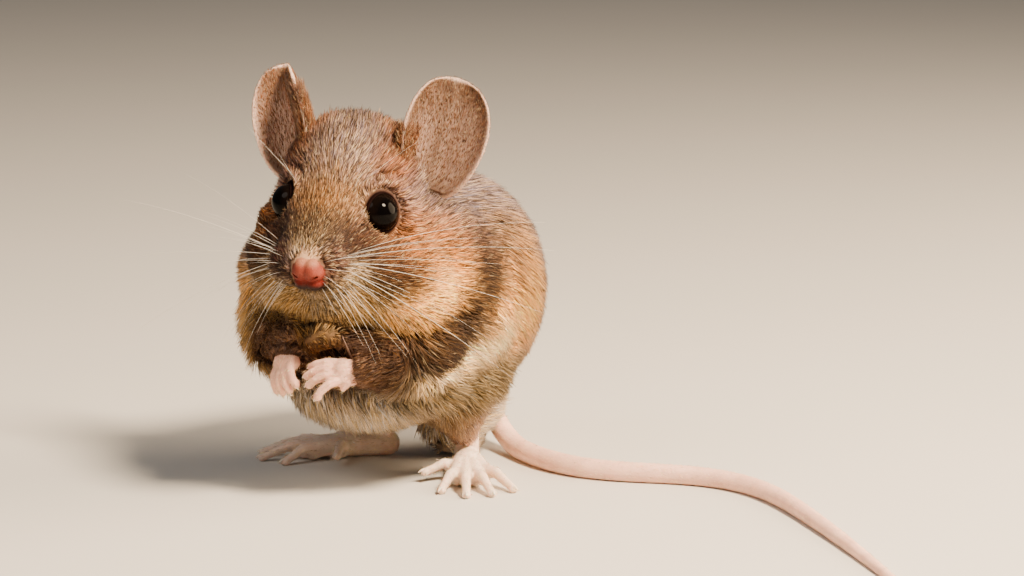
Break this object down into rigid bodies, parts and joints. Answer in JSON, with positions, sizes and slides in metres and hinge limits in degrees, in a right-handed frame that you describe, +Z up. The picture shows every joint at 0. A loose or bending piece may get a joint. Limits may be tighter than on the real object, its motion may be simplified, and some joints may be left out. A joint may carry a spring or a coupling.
{
  "type": "field mouse (wood mouse), still life-size model",
  "caption": "Life-size wood mouse sitting up on its hind feet, forepaws held together, tail laid along the floor.",
  "frame": {"origin": "on the floor, at the middle of the small flat that the rump sits on", "axes": "+Z up; the body faces -Y and its own left side is +X; the tail runs out towards +X"},
  "size_m": [0.1169, 0.0562, 0.0577],
  "materials": {
    "coat_back": "soft brown fur with dark tips",
    "coat_flank": "orange buff fur",
    "coat_chest": "orange brown to grey buff fur",
    "coat_chin": "pale yellowish fur",
    "coat_limb": "short brown fur",
    "nose_skin": "moist pink skin",
    "ear_skin": "thin finely haired skin",
    "paw_skin": "bare pink skin",
    "tail_skin": "ringed, sparsely haired skin",
    "eye": "glossy black",
    "claw": "pale horn"
  },
  "bodies": {
    "root": {"chest": "coat_chest", "ear_left": "ear_skin", "ear_right": "ear_skin", "eye_left": "eye", "eye_right": "eye", "forearm_left": "coat_limb", "forearm_right": "coat_limb", "forepaw_left": "paw_skin", "forepaw_right": "paw_skin", "head": "coat_back", "hind_foot_left": "paw_skin", "hind_foot_right": "paw_skin", "lower_jaw": "coat_chin", "neck": "coat_back", "nose": "nose_skin", "rump": "coat_back", "shin_left": "coat_limb", "shin_right": "coat_limb", "tail_1": "tail_skin", "tail_2": "tail_skin", "tail_3": "tail_skin", "tail_4": "tail_skin", "thigh_left": "coat_flank", "thigh_right": "coat_flank", "trunk": "coat_back", "upper_arm_left": "coat_back", "upper_arm_right": "coat_back"}
  },
  "joints": []
}
